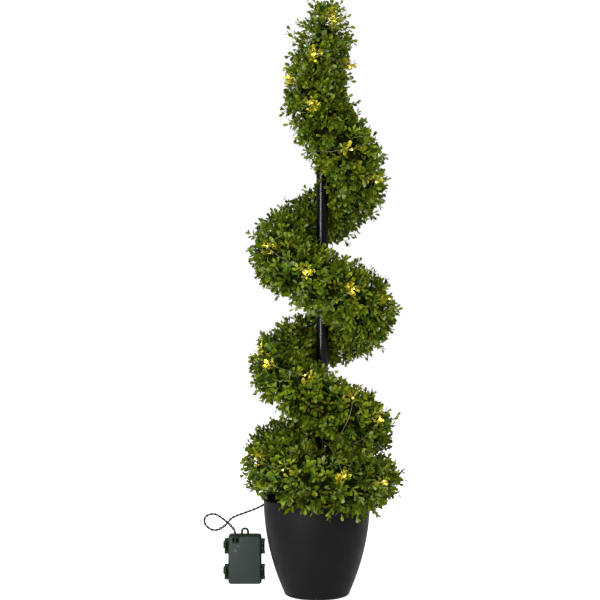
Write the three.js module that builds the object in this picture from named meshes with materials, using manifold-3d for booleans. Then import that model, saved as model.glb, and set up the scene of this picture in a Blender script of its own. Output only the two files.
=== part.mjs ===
// Artificial boxwood spiral, 1.2 m tall: a black pole in a tapering planter carries a leafy roll
// that winds down round it, and the lead of its string lights runs to a battery case on the floor.
// Millimetres, +Z up, the front towards -Y. The origin is the centre of the planter's flat underside.
import * as THREE from 'three';
import { mergeVertices } from 'three/addons/utils/BufferGeometryUtils.js';
import Module from 'manifold-3d';

const wasm = await Module();
wasm.setup();

// Clearance between pieces that touch
const GAP = 0.3;

// Planter: a round cup whose side leans out fast at the foot and stands upright at the rim
const POT_HEIGHT = 195;
const POT_RIM_RADIUS = 108;
const POT_FOOT_RADIUS = 64;
const POT_FLAT_RADIUS = 59;
const POT_EDGE_HEIGHT = 5;
const POT_EDGE_MIDDLE = { height: 1.5, inset: 1.2 };
const POT_CURVE_POWER = 2.03;
const POT_WALL = 4.5;
const POT_FLOOR = 5;
const POT_LIP = 2;
const POT_LIP_ROUND = 0.8;
const POT_SIDE_STEPS = 8;
const POT_SEGMENTS = 32;
const WALL_STEPS = 6;
const FILL_LEVEL = 174;
const CUT_PAST = 5;

// Pole: a steel tube a little right of the planter's centre
const POLE_X = 11;
const POLE_RADIUS = 12;
const POLE_TOP = 1125;
const POLE_SEGMENTS = 24;

// Leafy roll: one station for each half turn, from the tip down. It starts right of the pole, goes
// down behind it to the left, then down across the front, and so on.
const STATION_REACH = [7, 8, 66, 86, 86, 86, 81, 90, 97, 101];
const STATION_HEIGHT = [1141, 1058, 851, 695, 569, 463, 331, 270, 233, 205];
const STATION_CORE = [46, 53, 57, 52, 57, 51, 54, 63, 52, 16];
const ROLL_END = 8.68;
const TIP_CAP = 36;
const TIP_CAP_STEPS = 24;
const TIP_RINGS = [1.2, 5, 11];
const TAIL_CAP = 14;
const TAIL_RINGS = [8, 2];
const CORE_SIDES = 10;
const CORE_LUMP = 1.8;
const CORE_CLEARANCE = 0.4;
const RINGS_PER_MASS = 5;
const SAMPLES_PER_HALF_TURN = 100;

// Sprigs: short three-sided twigs out of the core, each with a lower and an upper whorl of leaves.
// Tilt is from the twig's own direction and shift round it, in degrees.
const SPRIG_AREA = 5000;
const SPRIG_MARGIN = 7;
const TWIG_SUNK = 6;
const TWIG_BARE = 1.5;
const TWIG_OUT = 8;
const TWIG_RADIUS = 2.2;
const TWIG_TAPER = 0.85;
const TWIG_SWAY = 0.45;
const TWIG_LIFT = 0.6;
const LOWER_LEAF = { tilt: 70, shift: -15, length: 30, width: 17 };
const UPPER_LEAF = { tilt: 38, shift: 45, length: 22, width: 13 };
const LEAF_WIDEST = 0.6;
const LEAF_FOLD = 0.5;
const LEAF_KEEL = 1.5;
const LEAF_CLEARANCE = 0.4;
const TURN_CLEARANCE = 1.4;
const OWN_TURN = 1 / 13;
const OTHER_TURN = 1 / 8;
const GOLDEN_ANGLE = Math.PI * (3 - Math.sqrt(5));

// One seed for each mass of foliage, from the tip down
const MASS_SEEDS = [2, 1, 2, 1, 1, 2, 2, 2, 1, 1, 1, 1, 1, 1, 1, 1];
const MASS_COUNT = MASS_SEEDS.length;

// Struts from the pole to the roll: direction in degrees from +X, heights at the pole and the roll
const STRUT_RADIUS = 2.5;
const STRUT_REACH = 80;
const STRUTS = [
  { angle: 180, from: 744, to: 738 },
  { angle: 62, from: 764, to: 772 },
  { angle: 168, from: 483, to: 480 },
  { angle: 55, from: 496, to: 504 },
  { angle: 60, from: 286, to: 292 },
];

// Bare lower end of the roll's steel frame, lying on the rim at the front left
const FRAME_RADIUS = 7;
const FRAME_WALL = 1.5;
const FRAME_SIDES = 10;
const FRAME_STEPS = 6;
const FRAME_FLAT = 0.92;
const FRAME_REACH = 102;
const FRAME_FROM = 152;
const FRAME_TO = 203;

// Battery case for three AA cells, standing left of the planter and a little behind it
const CASE = { x: -150, front: 96.5, depth: 25, width: 69.5, height: 103, corner: 6 };
const LID = { width: 64, height: 97, depth: 2.6, corner: 5 };
const LATCH = { out: 8, tall: 31.5, depth: 13, back: 4 };
const LATCH_TAB = { out: 2.6, tall: 15, raised: 3, slope: 1.5 };
const HINGE = { out: 7.6, waist: 6.6, tall: 31, waistTall: 13 };
const LATCH_HEIGHTS = [24.5, 78.5];
const LOOP = { radius: 8.4, bar: 4, leg: 6.6, depth: 4.5, back: 9 };
const GLAND = { offset: -20, width: 13, height: 15.8, depth: 4.4, middle: 94.5, corner: 2 };
const BUTTON = { offset: -19.7, height: 71.7, radius: 4.6, depth: 1.4 };

// Lead: a twisted pair, stiff enough to stand in the loop that it was bent into
const LEAD_RADIUS = 1.9;
const LEAD_STEPS = 44;
const LEAD_SIDES = 8;
const LEAD_ROUTE = [
  [-58, 54, 231], [-64, 60, 223], [-72, 66, 213], [-82, 70, 204], [-93, 69, 194],
  [-101, 65, 182], [-110, 61, 172], [-127, 64, 163], [-144, 68, 156], [-162, 72, 149],
  [-176, 76, 142], [-185, 79, 132], [-193, 81, 124], [-205, 83, 117], [-217, 85, 116],
  [-228, 87, 122], [-234, 88, 132], [-232, 89, 142], [-224, 90, 147], [-213, 90, 148],
  [-201, 91, 142], [-187, 92, 131], [-177, 92, 121], [-171, 91.5, 113], [-169.6, 91.1, 103],
];

const FINISH = {
  pot: { color: 0x262628, roughness: 0.6, metalness: 0.0 },
  fill: { color: 0x4a4743, roughness: 0.95, metalness: 0.0 },
  pole: { color: 0x0d0d0f, roughness: 0.3, metalness: 0.6 },
  steel: { color: 0x1a1c1b, roughness: 0.45, metalness: 0.6 },
  foliage: { color: 0x4d6a1d, roughness: 0.6, metalness: 0.0 },
  caseBody: { color: 0x233c2d, roughness: 0.5, metalness: 0.0 },
  lid: { color: 0x414d49, roughness: 0.45, metalness: 0.0 },
  lead: { color: 0x1f3a22, roughness: 0.5, metalness: 0.0 },
};

const radians = THREE.MathUtils.degToRad;
const point = (x, y, z) => new THREE.Vector3(x, y, z);

// Seeded random numbers between 0 and 1, the same on every run
function randomSource(seed) {
  let state = seed;
  return () => {
    state = (state + 0x6d2b79f5) | 0;
    let t = Math.imul(state ^ (state >>> 15), 1 | state);
    t = (t + Math.imul(t ^ (t >>> 7), 61 | t)) ^ t;
    return ((t ^ (t >>> 14)) >>> 0) / 4294967296;
  };
}

// Solids for cutting and joining
function solidOf(geometry) {
  const bare = geometry.clone();
  bare.deleteAttribute('normal');
  bare.deleteAttribute('uv');
  const merged = mergeVertices(bare, 1e-4);
  const corners = merged.index.array;
  const faces = [];
  for (let i = 0; i < corners.length; i += 3) {
    const [a, b, c] = [corners[i], corners[i + 1], corners[i + 2]];
    if (a !== b && b !== c && c !== a) faces.push(a, b, c);
  }
  return new wasm.Manifold(new wasm.Mesh({
    numProp: 3,
    vertProperties: new Float32Array(merged.attributes.position.array),
    triVerts: new Uint32Array(faces),
  }));
}

function geometryOf(solid) {
  const { vertProperties, triVerts } = solid.getMesh();
  const geometry = new THREE.BufferGeometry();
  geometry.setAttribute('position', new THREE.BufferAttribute(vertProperties, 3));
  geometry.setIndex(new THREE.BufferAttribute(triVerts, 1));
  geometry.computeVertexNormals();
  return geometry;
}

// The largest connected body of a solid, without the scraps that a cut leaves
function mainBody(solid) {
  const bodies = solid.decompose();
  return bodies.reduce((best, body) => (body.volume() > best.volume() ? body : best));
}

const spiral = new THREE.Group();
spiral.name = 'spiral_topiary';

function addPiece(name, geometry, finish) {
  const mesh = new THREE.Mesh(geometry, new THREE.MeshStandardMaterial(finish));
  mesh.name = name;
  spiral.add(mesh);
}

// Planter
function potRadius(height) {
  const share = THREE.MathUtils.clamp(height / POT_HEIGHT, 0, 1);
  const lean = 1 - (1 - share) ** POT_CURVE_POWER;
  return POT_FOOT_RADIUS + (POT_RIM_RADIUS - POT_FOOT_RADIUS) * lean;
}

function latheOf(profile, segments) {
  const geometry = new THREE.LatheGeometry(profile.map(([r, z]) => new THREE.Vector2(r, z)), segments);
  geometry.rotateX(Math.PI / 2);
  return geometry;
}

function outerProfile(grown) {
  const profile = [[0, -grown], [POT_FLAT_RADIUS + grown, -grown]];
  const { height: middle, inset } = POT_EDGE_MIDDLE;
  profile.push([potRadius(middle) - inset + grown, middle - grown]);
  const sideHeight = POT_HEIGHT - POT_LIP - POT_EDGE_HEIGHT;
  for (let i = 0; i <= POT_SIDE_STEPS; i += 1) {
    const height = POT_EDGE_HEIGHT + (sideHeight * i) / POT_SIDE_STEPS;
    profile.push([potRadius(height) + grown, height]);
  }
  return profile;
}

// Inner wall: straight between the same few levels for the planter and for what fills it
const wallLevels = Array.from({ length: WALL_STEPS + 1 }, (_, i) => (
  POT_FLOOR + ((POT_HEIGHT - POT_LIP - POT_FLOOR) * i) / WALL_STEPS
));

function innerRadius(height) {
  const above = Math.max(1, wallLevels.findIndex((level) => level >= height));
  const [low, high] = [wallLevels[above - 1], wallLevels[above]];
  const share = (height - low) / (high - low);
  return THREE.MathUtils.lerp(potRadius(low), potRadius(high), share) - POT_WALL;
}

function makePot() {
  const profile = outerProfile(0);
  profile.push([POT_RIM_RADIUS - POT_LIP_ROUND, POT_HEIGHT]);
  profile.push([POT_RIM_RADIUS - POT_WALL + POT_LIP_ROUND, POT_HEIGHT]);
  for (const level of [...wallLevels].reverse()) profile.push([innerRadius(level), level]);
  profile.push([0, POT_FLOOR]);
  return latheOf(profile, POT_SEGMENTS);
}

// The planter with its mouth closed and every side moved out, for cutting what lies on it
function potEnvelope() {
  const profile = outerProfile(GAP);
  profile.push([POT_RIM_RADIUS + GAP, POT_HEIGHT + GAP], [0, POT_HEIGHT + GAP]);
  return solidOf(latheOf(profile, POT_SEGMENTS));
}

// Pole
function upright(radius, bottom, top) {
  const geometry = new THREE.CylinderGeometry(radius, radius, top - bottom, POLE_SEGMENTS);
  geometry.rotateX(Math.PI / 2);
  geometry.translate(POLE_X, 0, (top + bottom) / 2);
  return geometry;
}

function makeFill() {
  const bottom = POT_FLOOR + GAP;
  const between = wallLevels.filter((level) => level > bottom && level < FILL_LEVEL);
  const levels = [bottom, ...between, FILL_LEVEL];
  const side = levels.map((level) => [innerRadius(level) - GAP, level]);
  const socket = upright(POLE_RADIUS + GAP, -CUT_PAST, FILL_LEVEL + CUT_PAST);
  const body = latheOf([[0, bottom], ...side, [0, FILL_LEVEL]], POT_SEGMENTS);
  return geometryOf(solidOf(body).subtract(solidOf(socket)));
}

// Values between the stations follow one smooth curve through them
function stationValue(values, turn) {
  const last = values.length - 1;
  const i = Math.min(Math.floor(turn), last - 1);
  const f = turn - i;
  const before = values[Math.max(i - 1, 0)];
  const after = values[Math.min(i + 2, last)];
  const slopeIn = (values[i + 1] - before) / 2;
  const slopeOut = (after - values[i]) / 2;
  return (2 * f ** 3 - 3 * f ** 2 + 1) * values[i] + (f ** 3 - 2 * f ** 2 + f) * slopeIn
    + (3 * f ** 2 - 2 * f ** 3) * values[i + 1] + (f ** 3 - f ** 2) * slopeOut;
}

function rollCentre(turn) {
  const reach = stationValue(STATION_REACH, turn);
  const angle = Math.PI * turn;
  return point(POLE_X + reach * Math.cos(angle), reach * Math.sin(angle), stationValue(STATION_HEIGHT, turn));
}

// Centreline of the roll with its core's radius, from the rounded tip to the rounded tail.
// The side axes are carried along it without twist.
function traceRoll() {
  const places = [];
  const count = Math.round(ROLL_END * SAMPLES_PER_HALF_TURN);
  for (let i = 0; i <= count; i += 1) {
    const turn = (ROLL_END * i) / count;
    places.push({ centre: rollCentre(turn), core: stationValue(STATION_CORE, turn) });
  }
  const up = places[0].centre.clone().sub(places[1].centre).normalize();
  const cap = [];
  for (let i = 0; i < TIP_CAP_STEPS; i += 1) {
    const above = TIP_CAP * Math.cos((Math.PI / 2) * (i / TIP_CAP_STEPS));
    const shrink = Math.sqrt(Math.max(0, 1 - (above / TIP_CAP) ** 2));
    cap.push({ centre: places[0].centre.clone().addScaledVector(up, above), core: STATION_CORE[0] * shrink });
  }
  const line = [...cap, ...places];
  let length = 0;
  line.forEach((place, i) => {
    if (i > 0) length += place.centre.distanceTo(line[i - 1].centre);
    place.along = length;
  });
  const side = point(1, 0, 0);
  line.forEach((place, i) => {
    const fromEnd = length - place.along;
    if (fromEnd < TAIL_CAP) place.core *= Math.sqrt(Math.max(0, 1 - (1 - fromEnd / TAIL_CAP) ** 2));
    const next = line[Math.min(i + 1, line.length - 1)].centre;
    const previous = line[Math.max(i - 1, 0)].centre;
    place.heading = next.clone().sub(previous).normalize();
    side.addScaledVector(place.heading, -side.dot(place.heading)).normalize();
    place.side = side.clone();
    place.rise = new THREE.Vector3().crossVectors(place.heading, side);
  });
  return line;
}

const roll = traceRoll();
const rollLength = roll[roll.length - 1].along;

function placeAt(along) {
  let low = 0;
  let high = roll.length - 1;
  while (high - low > 1) {
    const middle = (low + high) >> 1;
    if (roll[middle].along > along) high = middle;
    else low = middle;
  }
  return along - roll[low].along < roll[high].along - along ? roll[low] : roll[high];
}

// Distance of the core's surface from the centreline, with slow lumps in it that die out at its ends
function coreReach(place, angle, grown) {
  const lump = Math.sin(3 * angle + place.along / 26) * Math.cos(2 * angle - place.along / 37);
  const share = Math.min(1, place.core / 20);
  return Math.max(0, place.core + CORE_LUMP * lump * share) + grown;
}

function surfacePoint(place, angle, grown, shift) {
  const out = coreReach(place, angle, grown);
  return place.centre.clone().addScaledVector(place.heading, shift)
    .addScaledVector(place.side, out * Math.cos(angle))
    .addScaledVector(place.rise, out * Math.sin(angle));
}

// A stretch of the core from one distance along the roll to another, closed at both ends
function coreStretch(from, to, grown, shortened) {
  const positions = [];
  const index = [];
  const isTip = from <= 0;
  const isTail = to >= rollLength;
  const alongs = [];
  for (let i = 0; i <= RINGS_PER_MASS; i += 1) alongs.push(from + ((to - from) * i) / RINGS_PER_MASS);
  if (isTip) alongs.splice(0, 1, ...TIP_RINGS);
  if (isTail) alongs.splice(-1, 1, ...TAIL_RINGS.map((before) => rollLength - before));
  const rings = alongs.map((along, i) => {
    const shift = (i === 0 && !isTip ? shortened : 0) - (i === alongs.length - 1 && !isTail ? shortened : 0);
    return { place: placeAt(along), shift };
  });
  for (const { place, shift } of rings) {
    for (let k = 0; k < CORE_SIDES; k += 1) {
      positions.push(...surfacePoint(place, (2 * Math.PI * k) / CORE_SIDES, grown, shift).toArray());
    }
  }
  const ends = [rings[0], rings[rings.length - 1]];
  const tipPlace = isTip ? roll[0] : ends[0].place;
  const tailPlace = isTail ? roll[roll.length - 1] : ends[1].place;
  const [startShift, finishShift] = [isTip ? -grown : ends[0].shift, isTail ? grown : ends[1].shift];
  const start = tipPlace.centre.clone().addScaledVector(ends[0].place.heading, startShift);
  const finish = tailPlace.centre.clone().addScaledVector(ends[1].place.heading, finishShift);
  const startIndex = positions.length / 3;
  positions.push(...start.toArray(), ...finish.toArray());
  for (let r = 0; r < rings.length - 1; r += 1) {
    for (let k = 0; k < CORE_SIDES; k += 1) {
      const a = r * CORE_SIDES + k;
      const b = r * CORE_SIDES + ((k + 1) % CORE_SIDES);
      index.push(a, b, a + CORE_SIDES, b, b + CORE_SIDES, a + CORE_SIDES);
    }
  }
  const lastRing = (rings.length - 1) * CORE_SIDES;
  for (let k = 0; k < CORE_SIDES; k += 1) {
    const next = (k + 1) % CORE_SIDES;
    index.push(startIndex, next, k, startIndex + 1, lastRing + k, lastRing + next);
  }
  const geometry = new THREE.BufferGeometry();
  geometry.setAttribute('position', new THREE.Float32BufferAttribute(positions, 3));
  geometry.setIndex(index);
  return solidOf(geometry);
}

// Struts, each from just off the pole to just off the core that it carries
function strutSolid(strut, grown) {
  const angle = radians(strut.angle);
  const foot = point(POLE_X, 0, strut.from);
  const head = point(POLE_X + STRUT_REACH * Math.cos(angle), STRUT_REACH * Math.sin(angle), strut.to);
  const length = foot.distanceTo(head);
  const geometry = new THREE.CylinderGeometry(STRUT_RADIUS + grown, STRUT_RADIUS + grown, length, 10);
  geometry.translate(0, length / 2, 0);
  const turn = new THREE.Quaternion().setFromUnitVectors(point(0, 1, 0), head.clone().sub(foot).normalize());
  geometry.applyQuaternion(turn);
  geometry.translate(foot.x, foot.y, foot.z);
  return solidOf(geometry);
}

// A smooth curve through places, reaching a little past its first and last one
function smoothCurve(places, past) {
  const [first, second] = places;
  const [beforeLast, last] = places.slice(-2);
  const start = first.clone().sub(second).setLength(past).add(first);
  const end = last.clone().sub(beforeLast).setLength(past).add(last);
  return new THREE.CatmullRomCurve3([start, ...places.slice(1, -1), end], false, 'centripetal');
}

// Bare end of the frame tube along an arc over the rim, open at its front end
function frameArc(past) {
  const height = POT_HEIGHT + GAP + FRAME_RADIUS * FRAME_FLAT;
  const places = [];
  for (let i = 0; i <= FRAME_STEPS; i += 1) {
    const angle = radians(FRAME_FROM + ((FRAME_TO - FRAME_FROM) * i) / FRAME_STEPS);
    places.push(point(FRAME_REACH * Math.cos(angle), FRAME_REACH * Math.sin(angle), height));
  }
  return smoothCurve(places, past);
}

// Lead
function leadCurve(past) {
  return smoothCurve(LEAD_ROUTE.map(([x, y, z]) => point(x, y, z)), past);
}

function tubeAlong(curve, steps, radius, sides, hole) {
  const section = new THREE.Shape();
  section.absarc(0, 0, radius, 0, 2 * Math.PI);
  if (hole > 0) section.holes.push(new THREE.Path().absarc(0, 0, hole, 0, 2 * Math.PI, true));
  return new THREE.ExtrudeGeometry(section, { steps, extrudePath: curve, curveSegments: sides / 2 });
}

// A closed solid from its corners and its faces' corner numbers
function polyhedron(corners, faces) {
  const geometry = new THREE.BufferGeometry().setFromPoints(corners);
  geometry.setIndex(faces.flat());
  return solidOf(geometry);
}

// A leaf's left edge, keel, right edge and tip, from the middle of the twig's face that it grows from
function leafCorners(base, direction, right, above, leaf, size) {
  const widest = base.clone().addScaledVector(direction, leaf.length * size * LEAF_WIDEST);
  const edge = (leaf.width * size) / 2;
  return [
    widest.clone().addScaledVector(right, -edge).addScaledVector(above, LEAF_FOLD),
    widest.clone().addScaledVector(above, -LEAF_KEEL),
    widest.clone().addScaledVector(right, edge).addScaledVector(above, LEAF_FOLD),
    base.clone().addScaledVector(direction, leaf.length * size),
  ];
}

// Faces of a leaf over the three corners that it grows from
function leafFaces(root, first) {
  const faces = [];
  for (let i = 0; i < 3; i += 1) {
    const next = (i + 1) % 3;
    faces.push([root[i], root[next], first + next], [root[i], first + next, first + i]);
    faces.push([first + i, first + next, first + 3]);
  }
  return faces;
}

// Planes that end a mass: a corner stays between them, a margin clear of both
function insideEnds(corner, mass, margin) {
  const afterStart = mass.isTip || corner.clone().sub(mass.start.centre).dot(mass.start.heading) > margin;
  const beforeEnd = mass.isTail || corner.clone().sub(mass.end.centre).dot(mass.end.heading) < -margin;
  return afterStart && beforeEnd;
}

// Between two turns of the roll a corner belongs to the turn whose core is nearer
const coarseRoll = roll.filter((place, i) => i % 6 === 0);

function nearerOwnTurn(corner, own) {
  let ownDistance = Infinity;
  let otherDistance = Infinity;
  for (const place of coarseRoll) {
    const distance = corner.distanceTo(place.centre) - place.core;
    const apart = Math.abs(place.along - own.along) / rollLength;
    if (apart < OWN_TURN) ownDistance = Math.min(ownDistance, distance);
    else if (apart > OTHER_TURN) otherDistance = Math.min(otherDistance, distance);
  }
  return ownDistance + TURN_CLEARANCE < otherDistance;
}

function fits(corners, margin, solid, mass, place, limbs) {
  const free = corners.every((corner) => insideEnds(corner, mass, margin) && nearerOwnTurn(corner, place));
  return free && solid.intersect(limbs).isEmpty();
}

// One sprig: a twig out of the core whose side faces grow into leaves wherever there is room
function sprig(place, angle, mass, limbs) {
  const { random } = mass;
  const step = 3;
  const before = coreReach(placeAt(place.along - step), angle, 0);
  const after = coreReach(placeAt(place.along + step), angle, 0);
  const outward = place.side.clone().multiplyScalar(Math.cos(angle))
    .addScaledVector(place.rise, Math.sin(angle))
    .addScaledVector(place.heading, (before - after) / (2 * step))
    .normalize();
  const sway = point(random() - 0.5, random() - 0.5, random() * TWIG_LIFT);
  const growth = outward.addScaledVector(sway, TWIG_SWAY).normalize();
  const sunk = Math.min(TWIG_SUNK, place.core * 0.4);
  const foot = surfacePoint(place, angle, 0, 0).addScaledVector(growth, -sunk);
  const across = point(random() - 0.5, random() - 0.5, random() - 0.5).cross(growth).normalize();
  const crosswise = new THREE.Vector3().crossVectors(growth, across);
  const radial = (turn) => (
    across.clone().multiplyScalar(Math.cos(turn)).addScaledVector(crosswise, Math.sin(turn))
  );

  const corners = [];
  const levels = [[0, 1], [sunk + TWIG_BARE, 1], [sunk + TWIG_OUT, TWIG_TAPER]];
  for (const [height, taper] of levels) {
    for (let k = 0; k < 3; k += 1) {
      const corner = foot.clone().addScaledVector(growth, height);
      corners.push(corner.addScaledVector(radial((2 * Math.PI * k) / 3), TWIG_RADIUS * taper));
    }
  }
  const bareTwig = [[0, 2, 1], [6, 7, 8]];
  const leafRoots = [];
  for (let k = 0; k < 3; k += 1) {
    const next = (k + 1) % 3;
    bareTwig.push([k, next, 3 + k], [next, 3 + next, 3 + k]);
    leafRoots.push([[6 + k, 3 + k, 3 + next], k, LOWER_LEAF], [[6 + k, 3 + next, 6 + next], k, UPPER_LEAF]);
  }
  const twig = polyhedron(corners, [...bareTwig, ...leafRoots.map(([root]) => root)]);
  if (!fits(corners, LEAF_CLEARANCE, twig, mass, place, limbs)) return [];

  const faces = [...bareTwig];
  for (const [root, side, leaf] of leafRoots) {
    const size = 0.9 + 0.2 * random();
    const tilt = radians(leaf.tilt + 10 * (random() - 0.5));
    const turn = (2 * Math.PI * (side + 0.5)) / 3 + radians(leaf.shift);
    const out = radial(turn);
    const right = radial(turn + Math.PI / 2);
    const direction = growth.clone().multiplyScalar(Math.cos(tilt)).addScaledVector(out, Math.sin(tilt));
    const above = growth.clone().multiplyScalar(Math.sin(tilt)).addScaledVector(out, -Math.cos(tilt));
    const rootCorners = root.map((i) => corners[i]);
    const base = point(0, 0, 0);
    for (const corner of rootCorners) base.addScaledVector(corner, 1 / 3);
    const grown = leafCorners(base, direction, right, above, leaf, size);
    const blade = polyhedron([...rootCorners, ...grown], [[0, 2, 1], ...leafFaces([0, 1, 2], 3)]);
    if (fits(grown, LEAF_CLEARANCE, blade, mass, place, limbs)) {
      faces.push(...leafFaces(root, corners.length));
      corners.push(...grown);
    } else {
      faces.push(root);
    }
  }
  return [polyhedron(corners, faces)];
}

// Masses of foliage, each a stretch of the roll
function makeMasses(coreLimbs, leafLimbs) {
  const stretch = rollLength / MASS_COUNT;
  const masses = [];
  for (let i = 0; i < MASS_COUNT; i += 1) {
    const from = i * stretch;
    const to = i === MASS_COUNT - 1 ? rollLength : from + stretch;
    const mass = { start: placeAt(from), end: placeAt(to), isTip: i === 0, isTail: i === MASS_COUNT - 1 };
    mass.random = randomSource(1000 * (i + 1) + MASS_SEEDS[i]);
    mass.sprigs = [];
    mass.core = coreStretch(from, to, 0, GAP / 2).subtract(coreLimbs);
    mass.grown = coreStretch(from, to, CORE_CLEARANCE, 0);
    for (let other = 0; other < i - 1; other += 1) mass.core = mass.core.subtract(masses[other].grown);
    mass.core = mainBody(mass.core);
    masses.push(mass);
  }
  let along = 0.5;
  let angle = 0;
  while (along < rollLength - 3) {
    const number = Math.min(Math.floor(along / stretch), MASS_COUNT - 1);
    const mass = masses[number];
    const nearest = number * stretch + SPRIG_MARGIN;
    const furthest = (number + 1) * stretch - SPRIG_MARGIN;
    const place = placeAt(mass.isTip ? along : THREE.MathUtils.clamp(along, nearest, furthest));
    mass.sprigs.push(...sprig(place, angle, mass, leafLimbs));
    along += SPRIG_AREA / (2 * Math.PI * Math.max(place.core, 18));
    angle += GOLDEN_ANGLE;
  }
  for (const mass of masses) mass.solid = mainBody(wasm.Manifold.union([mass.core, ...mass.sprigs]));
  return masses;
}

// Battery case pieces
function roundedBlock(width, height, depth, corner) {
  const shape = new THREE.Shape();
  const [w, h] = [width / 2, height / 2];
  shape.absarc(w - corner, h - corner, corner, 0, Math.PI / 2);
  shape.absarc(corner - w, h - corner, corner, Math.PI / 2, Math.PI);
  shape.absarc(corner - w, corner - h, corner, Math.PI, 1.5 * Math.PI);
  shape.absarc(w - corner, corner - h, corner, 1.5 * Math.PI, 2 * Math.PI);
  return standing(shape, depth, 3);
}

// A flat outline drawn in X and Z, given its depth towards +Y
function standing(shape, depth, curveSegments) {
  const geometry = new THREE.ExtrudeGeometry(shape, { depth, bevelEnabled: false, curveSegments });
  geometry.rotateX(Math.PI / 2);
  geometry.translate(0, depth, 0);
  return geometry;
}

function placed(geometry, x, y, z) {
  geometry.translate(x, y, z);
  return geometry;
}

// Left latch: a block with a tab to pull
function latchShape() {
  const half = LATCH.tall / 2;
  const [body, outer] = [-LATCH.out, -LATCH.out - LATCH_TAB.out];
  const tabLow = LATCH_TAB.raised - LATCH_TAB.tall / 2;
  const tabHigh = LATCH_TAB.raised + LATCH_TAB.tall / 2;
  const shape = new THREE.Shape();
  shape.moveTo(0, -half);
  shape.lineTo(body, -half);
  shape.lineTo(body, tabLow);
  shape.lineTo(outer, tabLow + LATCH_TAB.slope);
  shape.lineTo(outer, tabHigh - LATCH_TAB.slope);
  shape.lineTo(body, tabHigh);
  shape.lineTo(body, half);
  shape.lineTo(0, half);
  shape.closePath();
  return shape;
}

// Right latch: the block that the lid turns on, with a slight waist
function hingeShape() {
  const [half, waistHalf] = [HINGE.tall / 2, HINGE.waistTall / 2];
  const shape = new THREE.Shape();
  shape.moveTo(0, -half);
  shape.lineTo(HINGE.out, -half);
  shape.lineTo(HINGE.waist, -waistHalf);
  shape.lineTo(HINGE.waist, waistHalf);
  shape.lineTo(HINGE.out, half);
  shape.lineTo(0, half);
  shape.closePath();
  return shape;
}

function loopShape() {
  const shape = new THREE.Shape();
  const inside = LOOP.radius - LOOP.bar;
  shape.moveTo(LOOP.radius, 0);
  shape.lineTo(LOOP.radius, LOOP.leg);
  shape.absarc(0, LOOP.leg, LOOP.radius, 0, Math.PI);
  shape.lineTo(-LOOP.radius, 0);
  shape.lineTo(-inside, 0);
  shape.lineTo(-inside, LOOP.leg);
  shape.absarc(0, LOOP.leg, inside, Math.PI, 0, true);
  shape.lineTo(inside, 0);
  shape.closePath();
  return shape;
}

function addBatteryCase() {
  const { x, front, depth, width, height } = CASE;
  const body = roundedBlock(width, height, depth, CASE.corner);
  addPiece('battery_case', placed(body, x, front, height / 2), FINISH.caseBody);
  const lid = roundedBlock(LID.width, LID.height, LID.depth, LID.corner);
  const lidFront = front - GAP - LID.depth;
  addPiece('battery_lid', placed(lid, x, lidFront, height / 2), FINISH.lid);
  const sideways = width / 2 + GAP;
  LATCH_HEIGHTS.forEach((level, i) => {
    const latch = placed(standing(latchShape(), LATCH.depth, 1), x - sideways, front + LATCH.back, level);
    addPiece(`case_latch_left_${i + 1}`, latch, FINISH.caseBody);
    const hinge = placed(standing(hingeShape(), LATCH.depth, 1), x + sideways, front + LATCH.back, level);
    addPiece(`case_latch_right_${i + 1}`, hinge, FINISH.caseBody);
  });
  const loop = standing(loopShape(), LOOP.depth, 5);
  addPiece('hanging_loop', placed(loop, x, front + LOOP.back, height + GAP), FINISH.caseBody);
  const gland = roundedBlock(GLAND.width, GLAND.height, GLAND.depth, GLAND.corner);
  const glandFront = lidFront - GAP - GLAND.depth;
  addPiece('lead_gland', placed(gland, x + GLAND.offset, glandFront, GLAND.middle), FINISH.caseBody);
  const button = new THREE.CylinderGeometry(BUTTON.radius, BUTTON.radius, BUTTON.depth, 20);
  const buttonMiddle = lidFront - GAP - BUTTON.depth / 2;
  addPiece('push_button', placed(button, x + BUTTON.offset, buttonMiddle, BUTTON.height), FINISH.caseBody);
}

// Assembly
addPiece('pot', makePot(), FINISH.pot);
addPiece('pot_fill', makeFill(), FINISH.fill);
addPiece('pole', upright(POLE_RADIUS, POT_FLOOR + GAP, POLE_TOP), FINISH.pole);

const frameTube = tubeAlong(frameArc(0), FRAME_STEPS, FRAME_RADIUS, FRAME_SIDES, FRAME_RADIUS - FRAME_WALL);
const frameGrown = solidOf(tubeAlong(frameArc(GAP), FRAME_STEPS, FRAME_RADIUS + GAP, FRAME_SIDES, 0));
const poleGrown = solidOf(upright(POLE_RADIUS + GAP, -CUT_PAST, POLE_TOP + GAP));
const leadGrown = solidOf(tubeAlong(leadCurve(GAP), LEAD_STEPS, LEAD_RADIUS + GAP, LEAD_SIDES, 0));
const strutsGrown = STRUTS.map((strut) => strutSolid(strut, GAP));
const coreLimbs = wasm.Manifold.union([poleGrown, potEnvelope(), frameGrown, leadGrown]);
const leafLimbs = wasm.Manifold.union([coreLimbs, ...strutsGrown]);
const masses = makeMasses(coreLimbs, leafLimbs);
const strutCutter = wasm.Manifold.union([poleGrown, ...masses.map((mass) => mass.grown)]);

STRUTS.forEach((strut, i) => {
  addPiece(`strut_${i + 1}`, geometryOf(mainBody(strutSolid(strut, 0).subtract(strutCutter))), FINISH.steel);
});
addPiece('frame_end', frameTube, FINISH.steel);
masses.forEach((mass, i) => {
  addPiece(`foliage_${String(i + 1).padStart(2, '0')}`, geometryOf(mass.solid), FINISH.foliage);
});
addBatteryCase();
addPiece('lead', tubeAlong(leadCurve(0), LEAD_STEPS, LEAD_RADIUS, LEAD_SIDES, 0), FINISH.lead);

export default spiral;
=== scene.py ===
"""Looks of the artificial boxwood spiral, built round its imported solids.

Sizes are in millimetres in the frame's axes: +Z up, the front towards -Y, the origin under the planter.
The roll, its twigs and its leaves follow the rule that made the solids, carried finer.
"""
import math

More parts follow.
